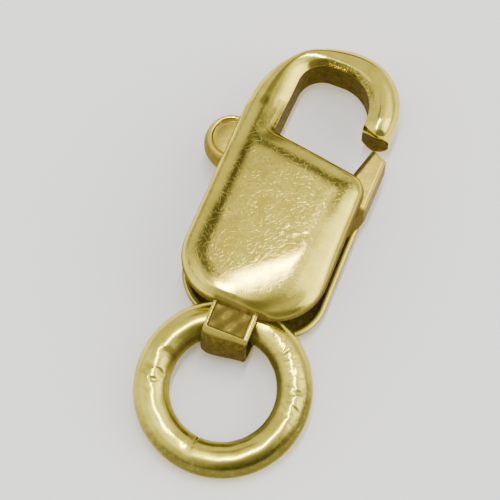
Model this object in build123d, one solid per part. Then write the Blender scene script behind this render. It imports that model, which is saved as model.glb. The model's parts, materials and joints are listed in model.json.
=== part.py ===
from build123d import *
import os
from math import asin, cos, degrees

# Lobster-claw bracelet clasp in yellow gold, with the soldered jump ring that joins it to a chain.
# Millimetres. The clasp lies on the flat of its back. +Y runs from the ring to the hook, +X is the
# gate's side and -X the thumb tab's side. Plan places are measured from the case's centre line (x)
# and from the pivot pin's height (y), and heights from the mid-plane between the two shells. At the
# end every piece is moved so that the origin is the middle of the whole object's underside.

os.makedirs("parts", exist_ok=True)

# Case: two dished shells with a slot all round between their rims
case_half_width = 2.66
case_mouth_inset = 0.12
case_bottom = 2.60
case_half_thickness = 1.50
case_shoulder = 0.70
case_wall = 0.22
slot_half_height = 0.76
corner_by_tab = 1.90
corner_by_gate = 2.00
mouth_height_by_tab = 4.37
mouth_height_by_gate = 3.60
mouth_corner = 0.75
crown_corner = 1.10
back_overhang = 0.10

# Hook: a solid bar that carries on from the shells on the tab's side
hook_top = 8.31
hook_nose_radius = 2.11
nose_inset = 0.08
crown_thickness = 0.97
nose_thickness = 1.04
hook_half_thickness = 1.02
hook_bevel = 0.30
hook_ridge = 0.05
opening_radius = 1.40
opening_side_lean = 0.08
tip_reach = 0.49
tip_chamfer = 0.20
limb_foot_by_tab = 0.29
limb_foot_by_opening = 0.04

hook_rounding = min(crown_thickness, nose_thickness) - hook_bevel - hook_ridge
nose_x = case_half_width - nose_inset
hook_sweep_radius = case_half_width + nose_x - hook_nose_radius
opening_right = nose_x - nose_thickness
opening_left = opening_right - 2 * opening_radius
opening_centre_height = hook_top - crown_thickness - opening_radius
tip_height = opening_centre_height - tip_reach

# Lever: gate arm, cross bar and thumb tab in one flat piece
lever_half_thickness = 0.66
gate_tip_inset = 0.43
gate_overhang = 0.19
gate_gap = 0.44
gate_tip_slope = 0.28
gate_neck_offset = 0.20
gate_heel_drop = 0.85
gate_bevel = 0.10
bar_cover = 0.22
bar_depth = 1.20
tab_radius = 1.00
tab_drop = 0.85
tab_rim = 0.20
tab_dish = 0.12

gate_outer_x = nose_x + gate_overhang
gate_tip_height = tip_height - gate_gap
tab_height = mouth_height_by_tab - tab_drop

# Pivot pin, and the lever's hub round it
pivot_x = 1.10
pin_radius = 0.35
pin_clearance = 0.05
hub_radius = 0.75
hub_end_clearance = 0.06

# Tail strip: bent round the jump ring's wire from the front shell to the back shell
strip_width = 1.66
strip_x = 0.02
strip_thickness = 0.22
strip_root_height = 1.20
strip_knee_height = 1.02
strip_knee_reach = 0.94
strip_foot_height = 0.68
strip_reach = 1.38
strip_bend = 0.44
panel_margin = 0.18
panel_depth = 0.04

# Jump ring, lying out from the strip with its far side on the ground
wire_radius = 0.64
ring_radius = 2.51
ring_x = 0.54
ring_seat_inset = 0.10
ring_seat_drop = 0.05


def plan_prism(face, half_height):
    """A plan outline raised to the same height above and below the mid-plane."""
    return extrude(face, amount=half_height, both=True)


def mouth_height(x):
    """Height along the clasp of the case's top edge, which slants down towards the gate."""
    share = (x + case_half_width) / (2 * case_half_width)
    return mouth_height_by_tab + (mouth_height_by_gate - mouth_height_by_tab) * share


def case_outline(overhang):
    """A shell's plan: straight sides and rounded corners, reaching further out on the gate's side."""
    gate_x = case_half_width + overhang
    mouth_x = gate_x - case_mouth_inset
    corners = [
        (-case_half_width, -case_bottom),
        (gate_x, -case_bottom),
        (mouth_x, mouth_height(mouth_x)),
        (-case_half_width, mouth_height(-case_half_width)),
    ]
    radii = [corner_by_tab, corner_by_gate - 2 * overhang, mouth_corner, crown_corner]
    return make_face(FilletPolyline(*corners, radius=radii, close=True))


def half_pillow(face, height, shoulder):
    """One half of the case's bulk: a plan outline raised to a plateau with rounded-over edges."""
    block = extrude(face, amount=height)
    return fillet(block.faces().sort_by(Axis.Z)[-1].edges(), shoulder)


def two_halves(front_face, back_face, height, shoulder):
    """A front half and a back half, meeting at the mid-plane."""
    back_half = mirror(half_pillow(back_face, height, shoulder), about=Plane.XY)
    return half_pillow(front_face, height, shoulder) + back_half


def hook_block():
    """The hook bar: an outer sweep and nose, a round opening, a cut tip and a limb into the case."""
    sweep_centre = (-case_half_width + hook_sweep_radius, hook_top - hook_sweep_radius)
    nose_centre = (sweep_centre[0], hook_top - hook_nose_radius)
    opening_centre = (opening_left + opening_radius, opening_centre_height)
    root_y = mouth_height(opening_left) - 2 * case_shoulder
    tip_x = opening_right + 2 * tip_chamfer
    outside = [
        Line((-case_half_width, root_y), (-case_half_width, sweep_centre[1])),
        CenterArc(sweep_centre, hook_sweep_radius, 180, -90),
        CenterArc(nose_centre, hook_nose_radius, 90, -90),
        Line((nose_x, nose_centre[1]), (nose_x, tip_height)),
    ]
    inside = [
        Line((opening_right, tip_height + tip_chamfer), (opening_right, opening_centre[1])),
        CenterArc(opening_centre, opening_radius, 0, 180),
        Line((opening_left, opening_centre[1]), (opening_left - opening_side_lean, root_y)),
    ]
    ends = [
        Line((nose_x, tip_height), (tip_x, tip_height)),
        Line((tip_x, tip_height), (opening_right, tip_height + tip_chamfer)),
        Line((opening_left - opening_side_lean, root_y), (-case_half_width, root_y)),
    ]
    block = plan_prism(make_face(outside + ends + inside), hook_half_thickness)
    return soften(soften(block, outside, hook_rounding), inside, hook_bevel)


def soften(block, plan_edges, radius):
    """Round over the front and back edges that lie above and below the given plan edges."""
    chosen = []
    for plan_edge in plan_edges:
        spot = plan_edge @ 0.5
        for edge in block.edges():
            middle = edge @ 0.5
            if abs(middle.Z) > 0.01 and (middle.X - spot.X) ** 2 + (middle.Y - spot.Y) ** 2 < 1e-4:
                chosen.append(edge)
    return fillet(chosen, radius)


def slot_cut():
    """The space between the rims: the whole mid layer below the limb's root."""
    far = 2 * case_half_width
    limb_inner = opening_left - opening_side_lean
    foot_inner = mouth_height(limb_inner) + limb_foot_by_opening
    foot_outer = mouth_height_by_tab + limb_foot_by_tab
    slope = (foot_outer - foot_inner) / (case_half_width + limb_inner)
    corners = [
        (-far, -2 * case_bottom),
        (far, -2 * case_bottom),
        (far, foot_inner),
        (limb_inner, foot_inner),
        (-far, foot_inner + slope * (far + limb_inner)),
    ]
    return plan_prism(make_face(Polyline(*corners, close=True)), slot_half_height)


def tail_strip():
    """A strip bent round the ring's wire, front shell to back shell, with a bare sunk panel in front."""
    knee = -case_bottom - strip_knee_reach
    foot = -case_bottom - strip_reach
    leg_end = case_wall - case_bottom
    front = [(0, strip_root_height), (knee, strip_knee_height), (foot, strip_foot_height)]
    back = [(y, -z) for y, z in reversed(front)]
    loop = make_face(FilletPolyline(*front, *back, radius=[0, *4 * [strip_bend], 0], close=True))
    loop -= offset(loop, -strip_thickness)
    loop -= Pos(leg_end + case_bottom, 0) * Rectangle(2 * case_bottom, 4 * strip_root_height)
    side = Plane(origin=(strip_x, 0, 0), x_dir=(0, 1, 0), z_dir=(1, 0, 0))
    strip = extrude(side * loop, amount=strip_width / 2, both=True)
    slope = (strip_root_height - strip_knee_height) / -knee
    panel_top = -case_bottom - panel_margin
    panel_foot = knee + panel_margin / 2
    middle = (panel_top + panel_foot) / 2
    panel = Box(strip_width - 2 * panel_margin, panel_top - panel_foot, 2 * panel_depth)
    return strip - Pos(strip_x, middle, strip_root_height + slope * middle) * Rot(degrees(slope), 0, 0) * panel


def clasp_body():
    """Both shells, the hook and the tail strip: one soldered piece, hollow between the shells."""
    outlines = [case_outline(0), case_outline(back_overhang)]
    hollows = [offset(outline, -case_wall) for outline in outlines]
    body = two_halves(*outlines, case_half_thickness, case_shoulder) + hook_block()
    body -= two_halves(*hollows, case_half_thickness - case_wall, case_shoulder - case_wall)
    return body - slot_cut() + tail_strip()


def bar_line(x, depth):
    """The cross bar's edge, a set depth below the case's slanting top edge."""
    return (x, mouth_height(x) - depth)


def lever():
    """Gate arm, cross bar and thumb tab, with a thicker hub that turns on the pivot pin."""
    tab_x = -case_half_width
    tab_top = (tab_x, tab_height + tab_radius)
    tab_foot = (tab_x, tab_height - tab_radius)
    neck = bar_line(opening_right + gate_neck_offset, bar_cover)
    arm = [
        neck,
        (nose_x - gate_tip_inset, gate_tip_height),
        (gate_outer_x, gate_tip_height - gate_tip_slope),
        (gate_outer_x, mouth_height_by_gate - gate_heel_drop),
        (pivot_x + hub_radius, 0),
        (pivot_x - hub_radius, 0),
        bar_line(pivot_x - 2 * hub_radius, bar_cover + bar_depth),
        tab_foot,
    ]
    shoulder_x = opening_left - 2 * opening_side_lean
    edges = [
        Polyline(*arm),
        ThreePointArc(tab_foot, (tab_x - tab_radius, tab_height), tab_top),
        Polyline(tab_top, bar_line(shoulder_x, 1.5 * bar_cover), neck),
    ]
    plate = plan_prism(make_face(edges), lever_half_thickness)
    outer_edges = [
        edge
        for edge in plate.edges().filter_by(Axis.Y)
        if abs((edge @ 0.5).X - gate_outer_x) < 1e-4 and abs((edge @ 0.5).Z) > 0.01
    ]
    plate = chamfer(outer_edges, gate_bevel)
    dish = Cylinder(tab_radius - tab_rim, 2 * tab_dish)
    for side in (-1, 1):
        plate -= Pos(tab_x, tab_height, side * lever_half_thickness) * dish
    hub_half = case_half_thickness - case_wall - hub_end_clearance
    plate += Pos(pivot_x, 0, 0) * Cylinder(hub_radius, 2 * hub_half)
    return plate - Pos(pivot_x, 0, 0) * Cylinder(pin_radius + pin_clearance, 4 * hub_half)


def pivot_pin():
    """A plain pin that reaches from one shell's inner face to the other's."""
    length = 2 * (case_half_thickness - case_wall)
    return Pos(pivot_x, 0, 0) * Cylinder(pin_radius, length)


def ring_place():
    """Where the ring's near wire sits in the strip, and how far the ring leans to reach the ground."""
    seat_y = -case_bottom + ring_seat_inset
    seat_z = -ring_seat_drop
    far_z = wire_radius - case_half_thickness
    lean = asin((seat_z - far_z) / (2 * ring_radius))
    return seat_y, seat_z, lean


def jump_ring():
    """A closed ring of round wire through the tail strip."""
    seat_y, seat_z, lean = ring_place()
    ring = Pos(0, -ring_radius, 0) * Torus(ring_radius, wire_radius)
    return Pos(ring_x, seat_y, seat_z) * Rot(degrees(lean), 0, 0) * ring


def underside_middle():
    """The middle of the whole object's underside, worked out from its sizes."""
    seat_y, seat_z, lean = ring_place()
    left = -case_half_width - tab_radius
    right = ring_x + ring_radius + wire_radius
    foot = seat_y - 2 * ring_radius * cos(lean) - wire_radius
    return Pos(-(left + right) / 2, -(foot + hook_top) / 2, case_half_thickness)


pieces = {
    "clasp_body": clasp_body(),
    "lever": lever(),
    "pivot_pin": pivot_pin(),
    "jump_ring": jump_ring(),
}
shift = underside_middle()
for name, piece in pieces.items():
    solid = shift * piece
    export_step(solid, f"parts/{name}.step")
    box = solid.bounding_box()
    print(f"{name}: {len(solid.solids())} solid, {solid.volume:.3f} mm3, size {box.size}")
print("origin shift", shift.position, "ring lean", round(degrees(ring_place()[2]), 2))
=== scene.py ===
# %% [markdown]
# # A gold lobster-claw clasp with its jump ring
#
# The real clasp is about 12 mm long. It is a hollow case of two dished shells, a solid hook
# that grows out of the case, a sprung lever between the shells, and a closed ring of round wire
# in a folded strip at the foot. The CAD frame already holds all of that at its true size. This
# script dresses the frame: each metal part gets a finer surface, with its ridges, bevels and
# dents, and a gold finish with wear, dirt, painted shade and painted glints. Box modelling with
# subdivision could do it too. Surfaces worked out with numpy were chosen, because the ridges and
# edges come from a few measured sizes and stay exact.

import json
from math import cos, pi, radians, sin

import bpy
import numpy as np
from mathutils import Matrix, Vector


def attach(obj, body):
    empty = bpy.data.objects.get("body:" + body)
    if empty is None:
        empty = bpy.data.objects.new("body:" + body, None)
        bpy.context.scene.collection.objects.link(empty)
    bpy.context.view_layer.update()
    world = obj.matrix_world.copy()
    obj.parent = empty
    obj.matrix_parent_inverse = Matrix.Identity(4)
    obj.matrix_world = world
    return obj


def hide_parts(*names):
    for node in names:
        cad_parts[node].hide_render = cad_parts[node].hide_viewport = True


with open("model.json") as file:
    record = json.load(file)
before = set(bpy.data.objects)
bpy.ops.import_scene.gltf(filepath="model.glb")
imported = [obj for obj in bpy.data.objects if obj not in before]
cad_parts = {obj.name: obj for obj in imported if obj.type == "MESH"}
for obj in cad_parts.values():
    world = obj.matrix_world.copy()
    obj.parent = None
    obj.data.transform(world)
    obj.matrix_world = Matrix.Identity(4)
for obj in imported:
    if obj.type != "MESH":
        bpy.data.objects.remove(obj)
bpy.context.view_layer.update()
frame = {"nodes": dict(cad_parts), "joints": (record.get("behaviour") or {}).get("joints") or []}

# %% [markdown]
# ## One set of millimetres
#
# All shapes below are drawn in millimetres from the case's own middle: x towards the gate, y
# towards the hook, z up through the thickness, with the two shells mirrored about z = 0. The
# frame has its own origin under the object, so every mesh is moved by the same shift when it is
# made. The lever's pivot is known in both, and it gives that shift.

# %% From the drawing's millimetres to the frame's metres
PIVOT = np.array([1.10, 0.0, 0.0])
hinge = next(joint for joint in frame["joints"] if joint["name"] == "lever_hinge")
SHIFT = np.array(hinge["pos_m"]) * 1000 - PIVOT
print("shift of the drawing in the frame, mm:", SHIFT.round(5))


def put_mesh(name, points, faces, sharp=None, marks=None):
    """Points in drawing millimetres become a mesh in frame metres; marks are numbers kept at its points."""
    mesh = bpy.data.meshes.new(name)
    metres = (np.asarray(points, dtype=float) + SHIFT) / 1000
    mesh.from_pydata(metres, [], faces if isinstance(faces, list) else faces.tolist())
    mesh.update()
    mesh.validate()
    mesh.shade_smooth()
    if sharp:
        mesh.set_sharp_from_angle(angle=radians(sharp))
    for mark, values in (marks or {}).items():
        layer = mesh.attributes.new(mark, "FLOAT", "POINT")
        layer.data.foreach_set("value", np.asarray(values, dtype=np.float32).ravel())
    piece = bpy.data.objects.new(name, mesh)
    bpy.context.scene.collection.objects.link(piece)
    print(f"{name}: {len(mesh.vertices)} points, {len(mesh.polygons)} faces")
    return piece


# %% [markdown]
# ## Grids of points
#
# Each surface is a table of points: rows along the piece and columns across it. Once the points
# are in a table, its quads follow from the row and column numbers alone, with no loop over
# points. Where a row is a closed loop round the piece, its last column joins the first.

# %% Quads of a table of point numbers
def quads(table, closed=False):
    """Every cell of the table gives one quad; a closed table also joins its last column to its first."""
    table = np.asarray(table)
    if closed:
        table = np.hstack([table, table[:, :1]])
    cells = np.stack([table[:-1, :-1], table[1:, :-1], table[1:, 1:], table[:-1, 1:]], axis=-1)
    return cells.reshape(-1, 4)


def smooth(value, low=0.0, high=1.0):
    """Rises from 0 to 1 between low and high, as 3u^2 - 2u^3, flat at both ends."""
    u = np.clip((value - low) / (high - low), 0, 1)
    return u * u * (3 - 2 * u)


def rounded(t, power=2.3):
    """A quarter of a superellipse: 0 at the edge with an upright wall, 1 on the flat: (1-(1-t)^p)^(1/p)."""
    t = np.clip(t, 0, 1)
    return (1 - (1 - t) ** power) ** (1 / power)


def soft_min(a, b, width):
    """The smaller of two heights, with their crossing line rounded over the given width."""
    h = np.clip(0.5 + 0.5 * (b - a) / width, 0, 1)
    return b * (1 - h) + a * h - width * h * (1 - h)


# %% [markdown]
# ## Outlines with rounded corners
#
# Seen from above, the clasp is drawn as straight runs with rounded corners. The outer outline
# runs from the hook's tip round the crown and down the tab's side. The inner one runs round the
# opening, along the case's slanting top edge and down the gate's side. Points on both are spaced
# by length, so the rows of the surface can be tied between them.

# %% Outline points from corners and radii
def fillet(before, here, after, radius):
    """The arc that rounds a corner: its centre, the two directions of travel, and the turn in radians."""
    before, here, after = (np.array(point, dtype=float) for point in (before, here, after))
    into, out = here - before, after - here
    into, out = into / np.linalg.norm(into), out / np.linalg.norm(out)
    turn = np.arctan2(into[0] * out[1] - into[1] * out[0], into @ out)
    side = np.sign(turn) * np.array([-into[1], into[0]])
    centre = here - into * radius * np.tan(abs(turn) / 2) + side * radius
    return centre, into, out, turn


def rounded_path(corners, radii, count):
    """Straight runs joined by arcs of the given radii, sampled at equal lengths along the whole path."""
    points = [np.array([corners[0]], dtype=float)]
    for before, here, after, radius in zip(corners, corners[1:], corners[2:], radii):
        centre, into, _, turn = fillet(before, here, after, radius)
        spin = np.linspace(0, turn, 60)[:, None]
        start = -np.sign(turn) * np.array([-into[1], into[0]])
        across_start = np.array([-start[1], start[0]])
        points.append(centre + radius * (start * np.cos(spin) + across_start * np.sin(spin)))
    points = np.vstack(points + [[corners[-1]]])
    along = np.concatenate([[0], np.cumsum(np.linalg.norm(np.diff(points, axis=0), axis=1))])
    fresh = np.concatenate([[True], np.diff(along) > 1e-9])
    at = np.linspace(0, along[-1], count)
    return np.stack([np.interp(at, along[fresh], points[fresh, k]) for k in (0, 1)], axis=1)


def nearest(path, point):
    """The number of the path's point that lies nearest to a given one."""
    return int(np.argmin(np.linalg.norm(path - np.array(point), axis=1)))


def tie(path, marks, counts):
    """Walks the path from mark to mark with a set number of rows on each stretch."""
    stops = [nearest(path, mark) for mark in marks]
    spans = [np.linspace(a, b, count, endpoint=False) for a, b, count in zip(stops, stops[1:], counts)]
    at = np.concatenate(spans + [[stops[-1]]])
    number = np.arange(len(path))
    return np.stack([np.interp(at, number, path[:, k]) for k in (0, 1)], axis=1)


# %% [markdown]
# ## The two outlines of case and hook
#
# The hook is cast solid and the case is stamped sheet, but they are soldered and polished as one
# body, so one long ribbon of rows covers both. Each row runs straight from the outer outline to
# the inner one. It starts at the hook's tip, goes over the crown and down the tab's side, and
# then fans out over the case. Lofting between sketched curves would give the same net; here the
# ties between the two outlines are named points, which keeps the rows from crossing.

# %% Sizes of the plan
CASE_LEFT, CASE_RIGHT, CASE_FOOT = -2.66, 2.66, -2.60
ROOT_LEFT, ROOT_RIGHT = (-0.70, CASE_FOOT), (0.60, CASE_FOOT)
FOOT_RADIUS, GATE_FOOT_RADIUS, GATE_TOP_RADIUS = 1.90, 2.00, 0.75
MOUTH_START, MOUTH_END, MOUTH_RADIUS = np.array([-1.34, 4.19]), np.array([2.54, 3.62]), 0.20
SLOT_END = (CASE_LEFT, 4.66), (-1.34, 4.21)
TIP_OUTER, TIP_INNER = (2.55, 5.57), (1.53, 5.57)
HOOK_RIGHT, HOOK_TOP = 2.58, 8.31
TIP_SIDE_RADIUS, TAB_SIDE_RADIUS = 2.11, 3.13
TIP_SIDE_CENTRE = HOOK_RIGHT - TIP_SIDE_RADIUS, HOOK_TOP - TIP_SIDE_RADIUS
TAB_SIDE_CENTRE = CASE_LEFT + TAB_SIDE_RADIUS, HOOK_TOP - TAB_SIDE_RADIUS
OPEN_LEFT, OPEN_RIGHT, OPEN_TOP, OPEN_SLANT = -1.24, 1.54, 7.36, 0.0315
OPEN_RIGHT_RADIUS, OPEN_LEFT_RADIUS = 1.40, 0.95
OPEN_RIGHT_CENTRE = OPEN_RIGHT - OPEN_RIGHT_RADIUS, OPEN_TOP - OPEN_RIGHT_RADIUS
OPEN_LEFT_CENTRE = -0.32, OPEN_TOP - OPEN_LEFT_RADIUS
print("opening, mm across:", round(OPEN_RIGHT - OPEN_LEFT, 2))


# %% Outlines and tied rows
def outer_outline():
    """The silhouette from the tip over the crown and down the tab's side to the strip."""
    corners = [TIP_OUTER, (HOOK_RIGHT, HOOK_TOP), (CASE_LEFT, HOOK_TOP), (CASE_LEFT, CASE_FOOT), ROOT_LEFT]
    return rounded_path(corners, [TIP_SIDE_RADIUS, TAB_SIDE_RADIUS, FOOT_RADIUS], 6000)


def gate_side(overhang):
    """The case's two corners on the gate's side, at the slanting top edge and at the foot."""
    return MOUTH_END + overhang * np.array([1, -0.14]), (CASE_RIGHT + overhang, CASE_FOOT)


def inner_outline(overhang=0.0):
    """Round the opening, along the case's slanting top edge and down the gate's side to the strip."""
    corners = [TIP_INNER, (OPEN_RIGHT, OPEN_TOP), (OPEN_LEFT, OPEN_TOP), MOUTH_START]
    radii = [OPEN_RIGHT_RADIUS, OPEN_LEFT_RADIUS, MOUTH_RADIUS, GATE_TOP_RADIUS]
    radii.append(GATE_FOOT_RADIUS - 2 * overhang)
    return rounded_path([*corners, *gate_side(overhang), ROOT_RIGHT], radii, 8000)


OUTER_MARKS = [
    TIP_OUTER, (HOOK_RIGHT, TIP_SIDE_CENTRE[1]), (TIP_SIDE_CENTRE[0], HOOK_TOP),
    (CASE_LEFT, TAB_SIDE_CENTRE[1]), SLOT_END[0],
]
INNER_MARKS = [TIP_INNER, (OPEN_RIGHT, 5.94), (0.16, OPEN_TOP), (-1.31, 5.18), SLOT_END[1]]
HOOK_ROWS = [40, 110, 130, 30]
outer_hook = tie(outer_outline(), OUTER_MARKS, HOOK_ROWS)
inner_hook = tie(inner_outline(), INNER_MARKS, HOOK_ROWS)
print("rows on the hook:", len(outer_hook))

# %% [markdown]
# ## Heights of the case and hook
#
# Polishing has left the case's front almost flat, with a shoulder that rolls over to the rim.
# The hook has a hard ridge: a round outer side, and a narrow bevel that was filed round the
# opening. Both are heights over the plan, worked out from the distance to the nearest edge. Where
# the hook's limb runs into the case, one fades into the other, which leaves the soft valley that
# the photo shows there.

# %% Distances from the edges
def beside(x, y, a, b):
    """Distance of each point to the left of the line from a to b."""
    (ax, ay), (bx, by) = a, b
    return ((bx - ax) * (y - ay) - (by - ay) * (x - ax)) / np.hypot(bx - ax, by - ay)


def case_inset(x, y, overhang=0.0):
    """Distance inside the case's rounded outline: the least to a side, or to the arc at a corner."""
    top, foot = gate_side(overhang)
    along = (np.array(top) - MOUTH_START) / np.linalg.norm(np.array(top) - MOUTH_START)
    s = (x - MOUTH_START[0]) * along[0] + (y - MOUTH_START[1]) * along[1]
    to_start = np.hypot(x - MOUTH_START[0], np.minimum(y - MOUTH_START[1], 0))
    mouth = np.where(s < 0, to_start, -beside(x, y, MOUTH_START, top))
    to_left = np.minimum(x - CASE_LEFT, y - CASE_FOOT)
    inset = np.minimum(to_left, np.minimum(mouth, -beside(x, y, top, foot)))
    left_foot = (CASE_LEFT, CASE_FOOT)
    for before, here, after, radius in (
        (SLOT_END[0], left_foot, foot, FOOT_RADIUS),
        (top, foot, left_foot, GATE_FOOT_RADIUS - 2 * overhang),
        (MOUTH_START, top, foot, GATE_TOP_RADIUS),
    ):
        (cx, cy), into, out, _ = fillet(before, here, after, radius)
        past = (x - cx) * into[0] + (y - cy) * into[1] > 0
        short = (x - cx) * out[0] + (y - cy) * out[1] < 0
        inset = np.where(past & short, radius - np.hypot(x - cx, y - cy), inset)
    return inset


def hook_insets(x, y):
    """Distances in from the hook's outer side and from the opening: arcs at the crown, lines below."""
    outer = np.where(x > 0, HOOK_RIGHT - x, x - CASE_LEFT)
    cx, cy = TAB_SIDE_CENTRE
    outer = np.where((x < cx) & (y > cy), TAB_SIDE_RADIUS - np.hypot(x - cx, y - cy), outer)
    cx, cy = TIP_SIDE_CENTRE
    outer = np.where((x >= cx) & (y > cy), TIP_SIDE_RADIUS - np.hypot(x - cx, y - cy), outer)
    (left, left_low), (right, low) = OPEN_LEFT_CENTRE, OPEN_RIGHT_CENTRE
    inner = np.where(x > right, x - OPEN_RIGHT, OPEN_LEFT - OPEN_SLANT * (OPEN_TOP - y) - x)
    inner = np.where((x > left) & (x <= right) & (y > low), y - OPEN_TOP, inner)
    inner = np.where((x > right) & (y > low), np.hypot(x - right, y - low) - OPEN_RIGHT_RADIUS, inner)
    left_corner = np.hypot(x - left, y - left_low) - OPEN_LEFT_RADIUS
    inner = np.where((x <= left) & (y > left_low), left_corner, inner)
    return np.maximum(outer, 0), np.maximum(inner, -2)


def shoulder(inset):
    """From 0 at the rim to 1 on the flat: a tight round edge, then a gentle slope, then a soft bend."""
    slope = soft_min(np.ones_like(inset), 1 - 0.58 * (0.70 - inset), 0.12)
    return np.clip(slope - 0.56 * (1 - rounded(inset / 0.26, 2.2)), 0, 1)


LIMB_HIGH, CASE_HIGH, EDGE_HIGH, DOME = 1.02, 1.50, 0.80, 0.035
FALL_CURVE, FALL_END = 0.088, 1.35


def fall_away(x, y):
    """How far the front bends down towards its lower right: a parabola that ends in a straight slope."""
    q = np.clip(0.612 * x - 0.79 * y - 0.60, 0, None)
    return FALL_CURVE * np.where(q < FALL_END, q**2, FALL_END * (2 * q - FALL_END))


def shoulder_width(x, y):
    """The shoulder beside its usual width: 1.5 times on the gate's side, half at the foot's left."""
    foot = smooth(-y, 1.4, 2.1) * (1 - smooth(x, 0.2, 1.3)) * smooth(x, -1.9, -1.2)
    return 1 + 0.50 * smooth(x, 0.6, 1.9) - 0.50 * foot


def body_height(x, y, overhang=0.0):
    """Half thickness over the plan: the case's pillow, blended up the limb into the hook's ridge."""
    into_case = (x + 1.9) * 0.45 + (4.05 - y) * 0.89
    into_case = np.where((x > 0) & (y > 4.9), -2.0, into_case)
    level = LIMB_HIGH + (CASE_HIGH - LIMB_HIGH) * smooth(into_case, -1.1, 0.95)
    dome = DOME * (1 - (x / CASE_RIGHT) ** 2) * smooth(into_case, 0.4, 2.0) - fall_away(x, y)
    bent = shoulder(case_inset(x, y, overhang) / shoulder_width(x, y))
    pillow = EDGE_HIGH + (level - DOME + dome - EDGE_HIGH) * bent
    outer, inner = hook_insets(x, y)
    bevel = 0.24 + 0.27 * smooth(-x, 0.3, 1.6) + 0.18 * smooth(x, 0.4, 1.6)
    width = np.maximum(outer + inner - bevel, 0.2)
    edge = EDGE_HIGH - 0.40 * smooth(y, 4.66, 5.40)
    side = level - (level - edge) * (1 - rounded(outer / width, 2.05))
    slope = level - 0.26 * np.clip(1 - inner / bevel, 0, 9) ** 1.35
    ridged = soft_min(side, slope, 0.16)
    share = smooth(-into_case, -0.1, 1.1)
    return pillow + (ridged - pillow) * share


# %% [markdown]
# ## Where the metal is worn and dirty, and where shade is painted
#
# Three numbers at each point lead the gold finish later: olive for dulled metal and painted
# shade, flat for the scratched matte part, and dirt for brown grime and painted shade in creases,
# hollows and on faces turned from the light. They follow from the same distances as the heights,
# so the olive band keeps to the line where the flat starts to bend, and darkens that bend as
# painted shade. Painting them by hand on the mesh could follow every mark, but the paint wouldn't
# move along with a size.

# %% Marks of wear, dirt and painted shade over the plan
BAND_INSET = 0.74


def bell(value, middle, width):
    """A soft line: exp(-u^2), where u is the distance from the middle, counted in widths."""
    return np.exp(-(((value - middle) / width) ** 2))


def olive_band(x, y, overhang=0.0):
    """Strength of the olive, tarnished metal and painted shade: a hill in the distance from the case's
    edge, and lines on the hook.
    """
    inset = case_inset(x, y, overhang)
    hill = np.exp(-np.abs((inset - BAND_INSET) / np.where(inset > BAND_INSET, 0.22, 0.17)) ** 2.4)
    # Much of the olive is painted shade: the band is weakened on the lit side, and the patches on the limb,
    # the corner and the low left and the thin line darken the bends.
    lit_side = smooth(0.9 * x - 0.6 * y, 0.1, 1.0)
    limb = bell(x, -1.75, 0.20) * bell(y, 4.30, 0.45)
    corner = 0.7 * bell(x, 1.95, 0.35) * bell(y, 3.10, 0.32)
    low_left = 0.75 * bell(x, -1.95, 0.28) * bell(y, -0.55, 0.95)
    line = 0.55 * bell(inset, 0.23, 0.04) * smooth(-x, 0.8, 1.8)
    band = hill * (1 - 0.85 * lit_side) + 0.7 * limb + corner + low_left + line
    # On the hook the olive is painted shade along the outer edge and on the bevel at the crown.
    outer, inner = hook_insets(x, y)
    rim = 0.35 * (1 - smooth(outer, 0.02, 0.16)) * (1 - 0.7 * smooth(x, 1.2, 2.4))
    bevel = 0.85 * (1 - smooth(inner, 0.12, 0.34)) * smooth(y, 6.1, 6.9) * smooth(x, -1.15, -0.5)
    return np.clip(np.where(y < 5.4, band, bevel + rim), 0, 1)


def flatness(x, y, overhang=0.0):
    """1 on the matte flat of the case, 0 on its polished shoulder and on the hook."""
    return smooth(case_inset(x, y, overhang), 0.55, 0.95) * (y < 4.6)


def dirt_and_shade(x, y):
    """Brown grime and painted shade in the crease at the opening's corner, along the limb's ridge, at the
    strip's root and in a thin line along the case's edge.
    """
    crease = bell(x, -1.40, 0.13) * bell(y, 4.22, 0.13)
    _, inner = hook_insets(x, y)
    on_limb = smooth(y, 4.1, 4.5) * (1 - smooth(y, 5.6, 7.0)) * (x < 0)
    ridge = bell(inner, 0.50, 0.07) * on_limb
    root = smooth(-y, 2.34, 2.46) * smooth(x, -0.95, -0.75) * (1 - smooth(x, 1.0, 1.25))
    by_strip = smooth(x, 0.7, 0.9) * (1 - smooth(x, 1.3, 1.7))
    root = root + 0.8 * bell(y, -2.47, 0.10) * by_strip
    # A thin dark line along the case's edge is painted shade.
    reach = 0.07 + 0.06 * smooth(x, 0.0, 1.6)
    edge = 0.95 * (1 - smooth(case_inset(x, y), 0.3 * reach, reach)) * (y < 4.3)
    return np.clip(crease + 0.55 * ridge + 0.9 * root + edge, 0, 1)


# %% [markdown]
# ## The ribbon over hook and case
#
# A row of the hook is a closed loop: over the top, down the opening's wall, back under and up
# the outer side. A row of a shell is a closed loop too, but it comes back along the rim and the
# hollow roof. Where the slot ends, the hook's last loop hands its top to the front shell and its
# underside to the back one, and a wall closes the hook between them. Extruding and bridging by
# hand gives the same body, but then each change of a size has to be made again by hand.

# %% Rows across the ribbon
def spread(count, lean=0.75):
    """Numbers from 0 to 1, closer together near both ends, where the edges turn over."""
    u = np.linspace(0, 1, count)
    return lean * (1 - np.cos(pi * u)) / 2 + (1 - lean) * u


def across(left, right, t):
    """Straight rows from each left point to its right point, at the fractions t."""
    return left[:, None, :] * (1 - t)[None, :, None] + right[:, None, :] * t[None, :, None]


def inward(path, side):
    """Unit normals of a path, to its left for side 1 and to its right for side -1."""
    tangent = np.gradient(path, axis=0)
    tangent /= np.linalg.norm(tangent, axis=1)[:, None]
    return side * np.stack([-tangent[:, 1], tangent[:, 0]], axis=1)


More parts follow.
